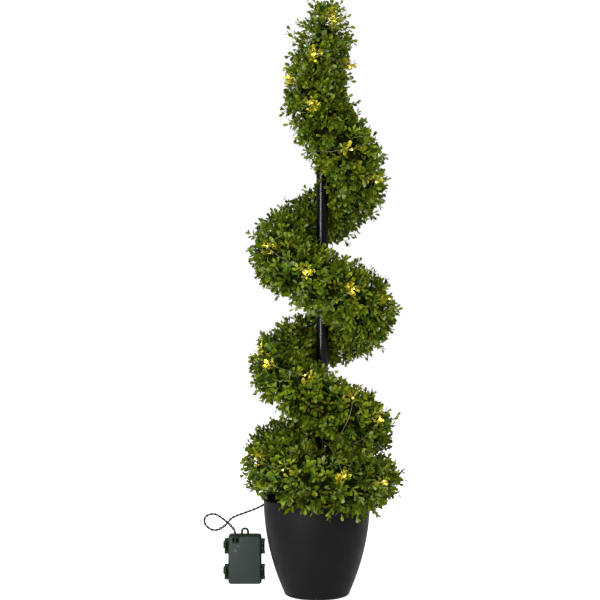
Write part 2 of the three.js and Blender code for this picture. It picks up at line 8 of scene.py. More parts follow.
import bpy
import numpy as np
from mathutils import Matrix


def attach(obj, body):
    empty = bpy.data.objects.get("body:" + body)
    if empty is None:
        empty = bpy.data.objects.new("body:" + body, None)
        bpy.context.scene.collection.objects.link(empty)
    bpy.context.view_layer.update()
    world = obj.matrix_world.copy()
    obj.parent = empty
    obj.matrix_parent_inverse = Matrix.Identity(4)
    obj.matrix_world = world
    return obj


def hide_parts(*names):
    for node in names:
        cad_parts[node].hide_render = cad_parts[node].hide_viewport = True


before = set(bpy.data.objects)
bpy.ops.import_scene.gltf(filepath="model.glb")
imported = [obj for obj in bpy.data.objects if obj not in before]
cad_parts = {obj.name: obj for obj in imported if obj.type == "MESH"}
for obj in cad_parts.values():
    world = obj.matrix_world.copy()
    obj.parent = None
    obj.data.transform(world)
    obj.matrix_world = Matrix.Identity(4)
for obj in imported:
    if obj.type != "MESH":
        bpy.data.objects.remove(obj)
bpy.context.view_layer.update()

scene = bpy.context.scene

MM = 0.001
GAP = 0.3
GOLDEN_ANGLE = math.pi * (3 - math.sqrt(5))

# Camera, room and the lights' aim in metres
CAMERA_PLACE = np.array([-34.2, -2780, 596])
CAMERA_LENS = 82.29
LIGHT_AIM = (0, 0, 0.6)
ROOM_LIGHT = 0.22
FLOOR_RADIUS = 9000

# Planter
POT_HEIGHT = 195
POT_RIM_RADIUS = 108
POT_FOOT_RADIUS = 64
POT_FLAT_RADIUS = 59
POT_EDGE_HEIGHT = 5
POT_CURVE_POWER = 2.03
POT_WALL = 4.5
POT_FLOOR = 5
FILL_LEVEL = 174
FILL_LUMPS = 0.9
FILL_ROOM = 2

# Pole
POLE_X = 11
POLE_RADIUS = 12
POLE_TOP = 1125
POLE_EDGE = 1.2

# Roll, with one station for each half turn from the tip down
STATION_REACH = [7, 8, 66, 86, 86, 86, 81, 90, 97, 101]
STATION_HEIGHT = [1141, 1058, 851, 695, 569, 463, 331, 270, 233, 205]
STATION_CORE = [46, 53, 57, 52, 57, 51, 54, 63, 52, 16]
ROLL_END = 8.68
TIP_CAP = 36
TIP_CAP_STEPS = 24
TAIL_CAP = 14
CORE_LUMP = 1.8
SAMPLES_PER_HALF_TURN = 100
OWN_TURN = 1 / 13
OTHER_TURN = 1 / 8

# Wound mat: the share of the core that it fills, less towards the tip, its rings and its lumps
MAT_SHARE = 0.66
MAT_TIP_SHARE = 0.35
MAT_FULL_FROM = 110
MAT_FROM = 24
MAT_CAP = 17
MAT_CAP_RINGS = (0.4, 2, 5, 10)
MAT_STEP = 7
MAT_END = 12
MAT_END_RINGS = (8, 2)
MAT_LUMPS = 1.8
MAT_LUMPS_FULL = 30

# Sprays of leaves
SPRAY_AREA = 195
SPRAYS_FROM = 0.5
SPRAYS_END = 3
FOOT_SHARE = 0.6
TIP_OUT = (-3.5, 3.2)
STRAY_SHARE = 0.3
STRAY_OUT = (1, 12)
TWIG_SWAY = 0.58
TWIG_BEND = 0.16
STEM_RADII = (0.85, 0.6, 0.35)

# Pairs of leaves up each twig, and how far single leaves depart from the rule
LEAF_NODES = (0.34, 0.58, 0.79, 0.98)
LEAF_TILTS = (54, 48, 40, 20)
LEAF_LENGTH = 17
LEAF_WIDTH = 7.2
TOP_LEAF = 0.86
STRAY_LEAF = 0.9
CROWN_LEAF = 0.9
LEAF_SPREAD = {"turn": 0.22, "tilt": 9, "roll": 0.3, "curl": 0.7,
               "size": (0.76, 1.14), "width": (0.85, 1.12)}

# The tip's left side is looser: fewer sprays, some of them longer
LOOSE_TIP = 95
LOOSE_SIDE = 0.1
LOOSE_TIP_KEPT = 0.62
LOOSE_TIP_OUT = (0, 15)
LOOSE_TIP_FOOT = 0.4
RAGGED_SHARE = 0.5

# The very top: closer sprays from deeper in, a few of them long
CROWN = 30
CROWN_OUT = (-13, -3)
CROWN_LONG = (-1, 6)
CROWN_LONG_SHARE = 0.22
CROWN_PATCH = 0.65
CROWN_FOOT = 0.12
CROWN_SWAY = 0.5

# Sprays low at the front that reach past the planter's rim hang a little over it
FRINGE_FROM = POT_RIM_RADIUS - 4
FRINGE_BELOW = 216
FRINGE_OUT = (-5, 9)
FRINGE_DROOP = 0.22
FRINGE_FRONT = -30
FRINGE_RIGHT_END = 104

# The lowest turn's underside is kept short on the right
UNDERSIDE_FROM = 60
UNDERSIDE_BELOW = 202
UNDERSIDE_OUT = -6

STRUTS = [
    {"angle": 180, "from": 744, "to": 738},
    {"angle": 62, "from": 764, "to": 772},
    {"angle": 168, "from": 483, "to": 480},
    {"angle": 55, "from": 496, "to": 504},
    {"angle": 60, "from": 286, "to": 292},
]
STRUT_RADIUS = 2.5
STRUT_REACH = 80

# Bare end of the frame tube on the rim
FRAME_RADIUS = 7
FRAME_WALL = 1.5
FRAME_REACH = 102
FRAME_HEIGHT = POT_HEIGHT + GAP + FRAME_RADIUS
FRAME_FROM = 152
FRAME_TO = 203
MOUTH_ROOM = 9

# Openings where the turns meet and the pole shows. Like the bulbs below, each is given by the X and
# height at which its line of sight crosses the plane Y = 0. In front of the Y that they start from,
# leaves keep off all of an opening and twigs off its middle.
OPENINGS = [{"place": (7, 304), "radius": 11}, {"place": (21, 289), "radius": 8}]
OPENING_FROM = -20
TWIG_OPENING_SHARE = 0.6

# Battery case. What lies on it has its X from the case's middle and the level of its own middle.
CASE = {"x": -150, "front": 96.5, "width": 69.5, "height": 103, "depth": 25, "corner": 6, "edge": 2.2}
SEAM = {**CASE, "back": 9, "width": CASE["width"] + 1, "depth": 1.6, "edge": 0.5}
LID = {"width": 64, "height": 97, "depth": 2.6, "corner": 5, "edge": 1.1}
LATCH = {"out": 8, "tall": 31.5, "depth": 13, "back": 4, "edge": 0.7}
LATCH_TAB = {"out": 2.6, "tall": 15, "raised": 3, "slope": 1.5}
LATCH_HEIGHTS = (24.5, 78.5)
HINGE = {"out": 7.6, "waist": 6.6, "tall": 31, "waist_tall": 13}
LOOP = {"radius": 8.9, "bar": 5, "leg": 5.4, "depth": 4.5, "back": 9}
GLAND = {"x": -20, "level": 94.5, "width": 13, "height": 15.8, "depth": 4.4, "corner": 2, "edge": 1.2}
RIB = {"x": -13, "level": 79.8, "width": 7.5, "height": 1.3, "depth": 1.2, "corner": 0.5, "edge": 0.3}
RIB_RAISED = 0.7
BUTTON = {"x": -19.7, "level": 71.7, "radius": 4.6, "depth": 1.4, "edge": 0.5, "dish": 0.35}

# Oval pockets in the case's pieces, their cut walls near-black as painted shade
LATCH_POCKET = {"out": 2.6, "half_width": 2.0, "half_height": 12, "deep": 4}
HINGE_POCKET = {"out": 3.6, "half_width": 1.2, "half_height": 10, "deep": 4}
HINGE_HOLE = {"out": 0.9, "half_width": 0.55, "half_height": 1.7, "deep": 20, "apart": 4.2}
GLAND_POCKET = {"out": 3.7, "half_width": 2.2, "half_height": 5.0, "deep": 3.4, "down": 0.6}

# Lead: a twisted pair on a given route
STRAND_RADIUS = 1.45
STRAND_OFFSET = 1.0
TWIST_PITCH = 19
# Distances along the lead where its pair has worked loose
LOOSE_PLACES = (188, 311)
LOOSE_LENGTH = 10
LOOSE_EXTRA = 1.0
LEAD_ROUTE = [
    (-58, 54, 231), (-64, 60, 223), (-72, 66, 213), (-82, 70, 204), (-93, 69, 194), (-101, 65, 182),
    (-110, 61, 172), (-127, 64, 163), (-144, 68, 156), (-162, 72, 149), (-176, 76, 142),
    (-185, 79, 132), (-193, 81, 124), (-205, 83, 117), (-217, 85, 116), (-228, 87, 122),
    (-234, 88, 132), (-232, 89, 142), (-224, 90, 147), (-213, 90, 148), (-201, 91, 142),
    (-187, 92, 131), (-177, 92, 121), (-171, 91.5, 113), (-169.6, 91.1, 103),
]

# Bulbs that the front shows
FRONT_BULBS = [
    (33, 1172), (-4, 1094), (67, 1066), (-58, 1047), (-12, 995), (73, 897), (121, 834),
    (-100, 705), (-24, 655), (75, 617), (146, 600), (-125, 500), (-102, 467), (-26, 444),
    (71, 398), (127, 353), (-124, 273), (-69, 251), (55, 240), (133, 231),
]
FRONT_BULB_NEAR = 7
FRONT_BULB_DEPTH = 15
# Bulbs behind: where along the roll, how far behind its centreline, and how far from the front ones
# and from the limbs
BACK_BULBS = {"from_top": 40, "spacing": 95, "from_end": 60, "behind": 32, "apart": 45, "clear": 8}
ANGLE_WEIGHT = 40
BULB_RADIUS = 1.9
BULB_TIP = 2.6
BULB_OUT = 9.5
BULB_ROOM = 4.5
GLOW_POWER = 0.042
GLOW_COLOR = (1.0, 0.8, 0.36)
GLOW_REACH = 19
BRIGHT_REACH = 10
WIRE_RADIUS = 0.34
WIRE_STEP = 14
WIRE_SAG = 3.5


# Scene
def add_object(data):
    item = bpy.data.objects.new(data.name, data)
    scene.collection.objects.link(item)
    return item


def add_camera():
    """Level, in front of the plant, with a long lens, as the photograph was taken."""
    data = bpy.data.cameras.new("camera")
    data.sensor_width = 36
    data.lens = CAMERA_LENS
    camera = add_object(data)
    camera.location = CAMERA_PLACE * MM
    camera.rotation_euler = (math.radians(90), 0, 0)
    scene.camera = camera


def add_area_light(name, place, size, power, mirrored=False, lighting=True):
    """A softbox, or a strip that shows only in the gloss. Places and sizes are in metres."""
    data = bpy.data.lights.new(name, "AREA")
    data.shape = "RECTANGLE"
    data.size, data.size_y = size
    data.energy = power
    light = add_object(data)
    light.location = place
    across, forward, up = np.subtract(LIGHT_AIM, place)
    tilt = math.atan2(math.hypot(across, forward), -up)
    light.rotation_euler = (tilt, 0, math.atan2(-across, forward))
    light.visible_glossy = mirrored
    light.visible_diffuse = lighting


def add_studio():
    """Softboxes in a white room that looks brighter than it shines."""
    scene.view_settings.view_transform = "Standard"
    world = bpy.data.worlds.new("studio")
    world.use_nodes = True
    nodes, links = world.node_tree.nodes, world.node_tree.links
    shade = nodes["Background"]
    shade.inputs["Color"].default_value = (1, 1, 1, 1)
    rays = nodes.new("ShaderNodeLightPath")
    strength = nodes.new("ShaderNodeMapRange")
    strength.inputs["To Min"].default_value = ROOM_LIGHT
    links.new(rays.outputs["Is Camera Ray"], strength.inputs["Value"])
    links.new(strength.outputs["Result"], shade.inputs["Strength"])
    scene.world = world
    left = (-1.58, -2.35, 1.0)
    add_area_light("softbox_front", (0.1, -3.1, 1.3), (0.9, 2.2), 28)
    add_area_light("softbox_left", left, (0.6, 2.0), 52)
    add_area_light("strip_left", left, (0.8, 2.0), 200, mirrored=True, lighting=False)
    add_area_light("softbox_right", (2.3, -1.7, 1.3), (0.9, 1.6), 16)
    add_area_light("softbox_top", (-0.2, -0.5, 2.9), (1.6, 1.6), 46)
    add_area_light("softbox_back", (-0.8, 2.4, 1.9), (1.6, 1.6), 36)


# Materials. Patches of colour, wear of the roughness and relief come from noise. Its scale stands first,
# then the two colours, the two values of roughness or the height, and its detail where that is unusual.
LOOKS = {
    "twig": {"color": (0.05, 0.062, 0.006), "gloss": 0.02,
             "wear": (300, 0.5, 0.7), "relief": (700, 0.15)},
    # The wound mat's near-black colour is painted shade for the gaps between the leaves
    "mat": {"patches": (120, (0.003, 0.005, 0.001), (0.012, 0.018, 0.003)), "gloss": 0,
            "roughness": 0.9, "relief": (260, 1.2, 6)},
    "pot": {"patches": (9, (0.0032, 0.0032, 0.0034), (0.0046, 0.0046, 0.0048), 6), "gloss": 0.07,
            "wear": (60, 0.47, 0.6, 6), "relief": (1500, 0.1, 3)},
    "fill": {"patches": (90, (0.05, 0.045, 0.04), (0.14, 0.13, 0.115), 8),
             "roughness": 0.92, "relief": (420, 0.8, 8)},
    "pole": {"color": (0.001, 0.001, 0.0014), "gloss": 0.33,
             "wear": (12, 0.12, 0.15, 1), "relief": (420, 0.004, 2)},
    "steel": {"color": (0.004, 0.004, 0.004), "gloss": 0.2,
              "wear": (160, 0.34, 0.5), "relief": (900, 0.06)},
    "case": {"color": (0.008, 0.02, 0.008), "gloss": 0.1,
             "wear": (120, 0.36, 0.5), "relief": (1800, 0.04)},
    "lid": {"patches": (14, (0.0126, 0.0215, 0.0192), (0.0166, 0.0265, 0.0238), 5), "gloss": 0.2,
            "wear": (90, 0.28, 0.4), "relief": (2200, 0.03)},
    "button": {"color": (0.036, 0.046, 0.044), "gloss": 0.25,
               "wear": (200, 0.4, 0.52), "relief": (1800, 0.05)},
    # The lid's rib is painted much paler than the lid: a painted highlight on its raised edge
    "rib": {"color": (0.1, 0.11, 0.11), "gloss": 0.25,
            "wear": (200, 0.4, 0.52), "relief": (1800, 0.05)},
    # Near-black walls of cut pockets and holes: painted shade in the recesses
    "pocket": {"color": (0.001, 0.002, 0.001), "gloss": 0.05, "roughness": 0.8, "relief": (1500, 0.05)},
    "lead": {"patches": (300, (0.005, 0.015, 0.003), (0.009, 0.024, 0.006)), "gloss": 0.1,
             "wear": (220, 0.33, 0.48), "relief": (1400, 0.05)},
    "wire": {"color": (0.14, 0.155, 0.08), "gloss": 0.3,
             "wear": (400, 0.22, 0.4), "relief": (1600, 0.03)},
    "bulb": {"color": (0.9, 0.66, 0.16), "glow": (1.0, 0.82, 0.22), "glow_strength": 1.2,
             "roughness": 0.2, "relief": (900, 0.1)},
    "floor": {"color": (0.85, 0.85, 0.85), "glow": (1, 1, 1), "glow_strength": 0.8,
              "roughness": 0.9, "relief": (30, 0.1)},
}

# Leaves: each tint's share of the twigs and the tint of its young top leaves, then the tints near a
# bulb, which paint the glow of its light on them
LEAF_SURFACE = {"wear": (260, 0.32, 0.54), "relief": (900, 0.12, 2)}
LEAF_TINTS = {
    "deep": {"color": (0.028, 0.049, 0.002), "share": 0.26, "gloss": 0.03, "young": "mid"},
    "mid": {"color": (0.065, 0.1, 0.003), "share": 0.25, "gloss": 0.02, "young": "fresh"},
    "grass": {"color": (0.044, 0.098, 0.008), "share": 0.1, "gloss": 0.1, "young": "fresh"},
    "fresh": {"color": (0.136, 0.182, 0.006), "share": 0.18, "gloss": 0.1, "young": "fresh"},
    "olive": {"color": (0.082, 0.092, 0.004), "share": 0.11, "gloss": 0, "young": "fresh"},
    # pale: a paler, greyer green dealt to some sprays and odd leaves, painted sheen
    "pale": {"color": (0.122, 0.166, 0.03), "share": 0.09, "gloss": 0.25, "young": "pale"},
    "dry": {"color": (0.062, 0.052, 0.008), "share": 0.01, "gloss": 0, "young": "olive"},
}
# Painted glow: yellow tints for leaves near a bulb, as if lit by it, the brighter one nearest
PAINTED_GLOW_TINTS = {
    "lit": {"color": (0.175, 0.17, 0.008), "gloss": 0.1},
    "bright": {"color": (0.25, 0.22, 0.025), "gloss": 0.1},
}
ODD_LEAVES = 0.4


def add_noise(material, scale, detail, kind, entry, result, socket):
    """Sends noise through a new node of a kind into a socket of the shader, and gives that node."""
    tree = material.node_tree
    place = tree.nodes.new("ShaderNodeTexCoord")
    noise = tree.nodes.new("ShaderNodeTexNoise")
    noise.inputs["Scale"].default_value = scale
    noise.inputs["Detail"].default_value = detail
    node = tree.nodes.new(kind)
    tree.links.new(place.outputs["Object"], noise.inputs["Vector"])
    tree.links.new(noise.outputs["Fac"], node.inputs[entry])
    tree.links.new(node.outputs[result], tree.nodes["Principled BSDF"].inputs[socket])
    return node


def add_relief(material, scale, height, detail=4):
    bump = add_noise(material, scale, detail, "ShaderNodeBump", "Height", "Normal", "Normal")
    bump.inputs["Strength"].default_value = 1
    bump.inputs["Distance"].default_value = height * MM


def add_wear(material, scale, low, high, detail=3):
    span = add_noise(material, scale, detail, "ShaderNodeMapRange", "Value", "Result", "Roughness")
    for socket, value in (("From Min", 0.3), ("From Max", 0.7), ("To Min", low), ("To Max", high)):
        span.inputs[socket].default_value = value


def add_patches(material, scale, dark, light, detail=4):
    ramp = add_noise(material, scale, detail, "ShaderNodeValToRGB", "Fac", "Color", "Base Color")
    for stop, position, color in zip(ramp.color_ramp.elements, (0.32, 0.68), (dark, light)):
        stop.position = position
        stop.color = (*color, 1)


def make_material(name, look):
    material = bpy.data.materials.new(name)
    material.use_nodes = True
    shader = material.node_tree.nodes["Principled BSDF"].inputs
    shader["Specular IOR Level"].default_value = look.get("gloss", 0.5)
    add_relief(material, *look["relief"])
    if "patches" in look:
        add_patches(material, *look["patches"])
    else:
        shader["Base Color"].default_value = (*look["color"], 1)
    if "wear" in look:
        add_wear(material, *look["wear"])
    else:
        shader["Roughness"].default_value = look["roughness"]
    if "glow" in look:
        shader["Emission Color"].default_value = (*look["glow"], 1)
        shader["Emission Strength"].default_value = look["glow_strength"]
    return material


def make_materials():
    made = {name: make_material(name, look) for name, look in LOOKS.items()}
    for name, tint in {**LEAF_TINTS, **PAINTED_GLOW_TINTS}.items():
        made[name] = make_material("leaf_" + name, {**tint, **LEAF_SURFACE})
    return made


# Meshes
def add_mesh(name, points, faces, material):
    """An object of one mesh, from points in millimetres."""
    mesh = bpy.data.meshes.new(name)
    points = np.asarray(points, dtype=np.float32) * MM
    mesh.from_pydata(points.tolist(), [], faces)
    mesh.materials.append(materials[material])
    return add_object(mesh)


def add_piece(name, points, faces, material, slot, replaced=(), sharp_angle=None):
    """A smooth-shaded piece that rides on the part."""
    piece = add_mesh(name, points, faces, material)
    piece.data.shade_smooth()
    if sharp_angle is not None:
        piece.data.set_sharp_from_angle(angle=math.radians(sharp_angle))
    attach(piece, "root")
    if replaced:
        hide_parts(*replaced)
    return piece


def repeated(shapes, faces):
    """Points and faces of many shapes that all have the same faces."""
    points = np.concatenate(shapes)
    size = len(points) // len(shapes)
    starts = range(0, len(points), size)
    return points, [tuple(corner + start for corner in face) for start in starts for face in faces]


def unit(vectors):
    return vectors / np.linalg.norm(vectors, axis=-1, keepdims=True)


def circle(count):
    """Angles evenly round a full turn."""
    return 2 * np.pi * np.arange(count) / count


def arc(centre, radius, start, end, steps):
    """Points of an arc in a (radius, height) profile, its angles in degrees."""
    points = []
    for i in range(steps + 1):
        turn = math.radians(start + (end - start) * i / steps)
        points.append((centre[0] + radius * math.cos(turn), centre[1] + radius * math.sin(turn)))
    return points


def skin(rings, ends="flat"):
    """Points and faces over rings of points, any of which may be a single point.

    The two ends are closed flat, joined to each other or left open.
    """
    sides = max(len(ring) for ring in rings)
    points, numbers, faces = [], [], []
    for ring in rings:
        numbers.append([len(points) + k % len(ring) for k in range(sides)])
        points.extend(ring)
    caps = [numbers[0][::-1], numbers[-1]] if ends == "flat" else []
    if ends == "joined":
        numbers.append(numbers[0])
    for low, high in zip(numbers, numbers[1:]):
        for face in zip(low, low[1:] + low[:1], high[1:] + high[:1], high):
            face = [corner for i, corner in enumerate(face) if corner != face[i - 1]]
            if len(face) > 2:
                faces.append(face)
    return np.array(points), faces + caps


def lathe(profile, segments, centre_x=0.0):
    """Points and faces of a profile of (radius, height) turned round the upright through centre_x."""
    rings = []
    for radius, height in profile:
        turns = circle(segments if radius else 1)
        rings.append([(centre_x + radius * math.cos(turn), radius * math.sin(turn), height)
                      for turn in turns])
    return skin(rings, ends="open")


def curve(before, start, end, after, share):
    """What lies at a share of the way from start to end on the smooth curve through all four."""
    return 0.5 * (2 * start + (end - before) * share
                  + (2 * before - 5 * start + 4 * end - after) * share ** 2
                  + (3 * start - before - 3 * end + after) * share ** 3)


def smooth_path(places, spacing):
    """Points every few millimetres along a smooth curve through the places."""
    places = np.asarray(places, dtype=float)
    knots = np.vstack([2 * places[0] - places[1], places, 2 * places[-1] - places[-2]])
    fine = []
    for four in zip(knots, knots[1:], knots[2:], knots[3:]):
        steps = max(2, int(np.linalg.norm(four[2] - four[1]) / spacing))
        fine.append(curve(*four, (np.arange(steps) / steps)[:, None]))
    return np.vstack(fine + [places[-1:]])


def distances(path):
    """How far along a path each of its points is."""
    return np.concatenate([[0], np.cumsum(np.linalg.norm(np.diff(path, axis=0), axis=1))])


def axes_across(ways, aside=(0.41, 0.29, 0.86)):
    """Two axes square to each way, the first of them also square to aside."""
    across = unit(np.cross(ways, aside))
    return across, np.cross(ways, across)


def frames_along(path, side=None):
    """The heading at each point of a path and two axes across it, carried along without twist."""
    headings = unit(np.gradient(path, axis=0))
    side = np.cross(headings[0], (0.31, 0.17, 0.93)) if side is None else side
    across = np.empty_like(path)
    for i, heading in enumerate(headings):
        side = side - heading * side.dot(heading)
        side /= np.linalg.norm(side)
        across[i] = side
    return headings, across, np.cross(headings, across)


def rings_along(path, radius, sides):
    """Rings of points round a path, their radius one value or one for each point of the path."""
    path = np.asarray(path, dtype=float)
    _, across, over = frames_along(path)
    turns = circle(sides)[:, None]
    spokes = np.cos(turns) * across[:, None] + np.sin(turns) * over[:, None]
    return path[:, None] + np.broadcast_to(radius, len(path))[:, None, None] * spokes


# Lead
def add_lead():
    path = smooth_path(LEAD_ROUTE, 1.2)
    _, across, over = frames_along(path)
    along = distances(path)
    turn = (2 * np.pi * along / TWIST_PITCH)[:, None]
    apart = np.full(len(path), STRAND_OFFSET)
    for loose in LOOSE_PLACES:
        apart += LOOSE_EXTRA * np.exp(-((along - loose) / LOOSE_LENGTH) ** 2)
    strands = []
    for start in (0, np.pi):
        offset = np.cos(turn + start) * across + np.sin(turn + start) * over
        points, faces = skin(rings_along(path + apart[:, None] * offset, STRAND_RADIUS, 10))
        strands.append(points)
    lead = add_piece("lead_pair", *repeated(strands, faces), "lead", "lead", ["lead"], sharp_angle=60)


# Planter, ballast and pole
def pot_radius(height):
    """Radius of the planter's outside at a height, or at each of several."""
    share = np.clip(height / POT_HEIGHT, 0, 1)
    return POT_FOOT_RADIUS + (POT_RIM_RADIUS - POT_FOOT_RADIUS) * (1 - (1 - share) ** POT_CURVE_POWER)


def add_planter():
    edge = pot_radius(POT_EDGE_HEIGHT) - POT_FLAT_RADIUS
    lip = POT_WALL / 2
    outside_top, inside_top = POT_HEIGHT - 2.2, POT_HEIGHT - 4
    profile = [(0, 0), (POT_FLAT_RADIUS * 0.5, 0), (POT_FLAT_RADIUS, 0)]
    for across, up in arc((0, 0), 1, 0, 90, 8)[1:]:
        profile.append((POT_FLAT_RADIUS + edge * up, POT_EDGE_HEIGHT * (1 - across)))
    for height in np.linspace(POT_EDGE_HEIGHT, outside_top, 49)[1:]:
        profile.append((pot_radius(height), height))
    profile += arc((POT_RIM_RADIUS - lip, POT_HEIGHT - lip), lip, 0, 180, 10)[1:]
    for height in np.linspace(inside_top, POT_FLOOR, 25):
        profile.append((pot_radius(height) - POT_WALL, height))
    profile.append((0, POT_FLOOR))
    add_piece("planter", *lathe(profile, 128), "pot", "pot", ["pot"], sharp_angle=50)


def add_ballast():
    """Filling with an uneven top: round inside the planter, and with a hole round the pole."""
    floor = POT_FLOOR + GAP
    level = FILL_LEVEL - 1
    inner = POLE_RADIUS + GAP
    outer = pot_radius(FILL_LEVEL) - POT_WALL - FILL_ROOM
    profile = [(inner, floor)]
    for height in np.linspace(floor, FILL_LEVEL - 3, 13):
        profile.append((min(pot_radius(height) - POT_WALL - FILL_ROOM, outer), height))
    profile += [(reach, level) for reach in np.linspace(outer, inner, 13)]
    profile.append((inner, floor))
    points, faces = lathe(profile, 96)
    rng = np.random.default_rng(5)
    top = points[:, 2] == level
    points[top, 2] += rng.uniform(-FILL_LUMPS, FILL_LUMPS, top.sum())
    reach = np.hypot(points[:, 0], points[:, 1])
    inside = reach < inner + 0.5
    points[inside, 0] += POLE_X
    share = np.clip((outer - reach) / (outer - inner), 0, 1)
    points[top & ~inside, 0] += POLE_X * share[top & ~inside]
    add_piece("ballast", points, faces, "fill", "pot_fill", ["pot_fill"], sharp_angle=60)


def add_pole():
    foot = POT_FLOOR + GAP
    profile = [(0, foot), (POLE_RADIUS, foot)]
    profile += [(POLE_RADIUS, height) for height in np.linspace(60, POLE_TOP - 40, 41)]
    profile += arc((POLE_RADIUS - POLE_EDGE, POLE_TOP - POLE_EDGE), POLE_EDGE, 0, 90, 5)
    profile.append((0, POLE_TOP))
    add_piece("pole_tube", *lathe(profile, 64, POLE_X), "pole", "pole", ["pole"], sharp_angle=50)


def add_struts():
    """Each strut runs from the pole, past a weld, into the wound mat."""
    shares = np.array([0, 0.03, 0.06, 0.1, 0.3, 0.6, 0.9, 1.0])[:, None]
    radii = STRUT_RADIUS * np.array([1.7, 1.45, 1.12, 1, 1, 1, 1, 0.8])
    for number, strut in enumerate(STRUTS, 1):
        turn = math.radians(strut["angle"])
        out = np.array([math.cos(turn), math.sin(turn), 0])
        foot = np.array([POLE_X, 0, strut["from"]]) + out * (POLE_RADIUS + 0.1)
        head = np.array([POLE_X, 0, strut["to"]]) + out * STRUT_REACH
        points, faces = skin(rings_along(foot + (head - foot) * shares, radii, 20))
        add_piece(f"strut_bar_{number}", points, faces, "steel", "steel", [f"strut_{number}"],
                  sharp_angle=50)


def add_frame_end():
    """An open tube: outside, mouths and inside in one skin."""
    turns = np.radians(np.linspace(FRAME_FROM, FRAME_TO, 40))
    level = np.full(len(turns), FRAME_HEIGHT)
    path = np.stack([FRAME_REACH * np.cos(turns), FRAME_REACH * np.sin(turns), level], axis=1)
    outside = rings_along(path, FRAME_RADIUS, 32)
    inside = rings_along(path, FRAME_RADIUS - FRAME_WALL, 32)
    points, faces = skin(np.concatenate([outside, inside[::-1]]), ends="joined")
    add_piece("frame_tube", points, faces, "steel", "steel", ["frame_end"], sharp_angle=50)


# Roll
def station_value(values, turns):
    """Values between the stations follow one smooth curve through them."""
    values = np.array(values)
    last = len(values) - 1
    i = np.minimum(turns.astype(int), last - 1)
    before, after = values[np.maximum(i - 1, 0)], values[np.minimum(i + 2, last)]
    return curve(before, values[i], values[i + 1], after, turns - i)


class Roll:
    """Centreline of the leafy roll with its core's radius and the axes carried along it."""

    def __init__(self):
        turns = np.linspace(0, ROLL_END, round(ROLL_END * SAMPLES_PER_HALF_TURN) + 1)
        reach = station_value(STATION_REACH, turns)
        across, depth = reach * np.cos(np.pi * turns), reach * np.sin(np.pi * turns)
        centres = np.stack([POLE_X + across, depth, station_value(STATION_HEIGHT, turns)], axis=1)
        up = unit(centres[0] - centres[1])
        above = TIP_CAP * np.cos(np.pi / 2 * np.arange(TIP_CAP_STEPS) / TIP_CAP_STEPS)
        cap_cores = STATION_CORE[0] * np.sqrt(1 - (above / TIP_CAP) ** 2)
        self.centre = np.vstack([centres[0] + up * above[:, None], centres])
        self.core = np.concatenate([cap_cores, station_value(STATION_CORE, turns)])
        self.along = distances(self.centre)
        self.length = self.along[-1]
        from_end = self.length - self.along
        tail = from_end < TAIL_CAP
        self.core[tail] *= np.sqrt(np.maximum(0, 1 - (1 - from_end[tail] / TAIL_CAP) ** 2))
        self.heading, self.side, self.rise = frames_along(self.centre, np.array([1.0, 0, 0]))

    def nearest(self, along):
        """Number of the place nearest each distance along the roll."""
        after = np.clip(np.searchsorted(self.along, along), 1, len(self.along) - 1)
        closer_before = along - self.along[after - 1] < self.along[after] - along
        return after - closer_before

    def reach(self, place, angle):
        """Distance of the core's surface from the centreline, with slow lumps that die out."""
        along, core = self.along[place], self.core[place]
        lump = np.sin(3 * angle + along / 26) * np.cos(2 * angle - along / 37)
        return np.maximum(0, core + CORE_LUMP * lump * np.minimum(1, core / 20))

    def outward(self, place, angle):
        return np.cos(angle)[:, None] * self.side[place] + np.sin(angle)[:, None] * self.rise[place]

    def surface(self, place, angle, reach):
        """Points at a reach from the centreline."""
        return self.centre[place] + self.outward(place, angle) * reach[:, None]

    def keeps_to_turn(self, points, place):
        """Whether each point is nearer to its own turn's core than to any other turn's."""
        coarse = np.arange(0, len(self.along), 6)
        apart = np.abs(self.along[coarse] - self.along[place][:, None]) / self.length
        away = points[:, None] - self.centre[coarse]
        distance = np.linalg.norm(away, axis=2) - self.core[coarse]
        own = np.where(apart < OWN_TURN, distance, np.inf).min(axis=1)
        other = np.where(apart > OTHER_TURN, distance, np.inf).min(axis=1)
        return own < other


def as_seen(points):
    """X and height at which the line of sight to each point crosses the plane Y = 0."""
    share = CAMERA_PLACE[1] / (CAMERA_PLACE[1] - points[:, 1])
    camera = CAMERA_PLACE[[0, 2]]
    return camera + (points[:, [0, 2]] - camera) * share[:, None]


def clear_of_limbs(points, margin, opening_share=1.0):
    """Whether each point keeps off the planter, the pole, the frame's end and the openings."""
    x, y, z = points.T
    reach = np.hypot(x, y)
    outside_pot = (z > POT_HEIGHT + margin) | (reach > pot_radius(z) + margin)
    outside_pole = (np.hypot(x - POLE_X, y) > POLE_RADIUS + margin) | (z > POLE_TOP + margin)
    turn = np.degrees(np.arctan2(y, x)) % 360
    off_frame = np.hypot(reach - FRAME_REACH, z - FRAME_HEIGHT) > FRAME_RADIUS + margin
    outside_frame = off_frame | (turn < FRAME_FROM - 2) | (turn > FRAME_TO + 9)
    end = math.radians(FRAME_TO)
    mouth = np.array([FRAME_REACH * math.cos(end), FRAME_REACH * math.sin(end), FRAME_HEIGHT])
    seen = as_seen(points)
    off_mouth = np.linalg.norm(seen - as_seen(mouth[None]), axis=1) > MOUTH_ROOM * opening_share
    clear = off_mouth | (y > mouth[1])
    for opening in OPENINGS:
        apart = np.linalg.norm(seen - opening["place"], axis=1)
        clear &= (apart > opening["radius"] * opening_share) | (y > OPENING_FROM)
    return outside_pot & outside_pole & outside_frame & clear


def scatter(roll):
    """Places along the roll and angles round it, one for each spray's patch of the core."""
    places, angles = [], []
    along, angle = SPRAYS_FROM, 0.0
    while along < roll.length - SPRAYS_END:
        place = roll.nearest(along)
        places.append(place)
        angles.append(angle % (2 * math.pi))
        patch = SPRAY_AREA * (CROWN_PATCH if along < CROWN else 1)
        along += patch / (2 * math.pi * max(roll.core[place], TIP_CAP))
        angle += GOLDEN_ANGLE
    return np.array(places), np.array(angles)


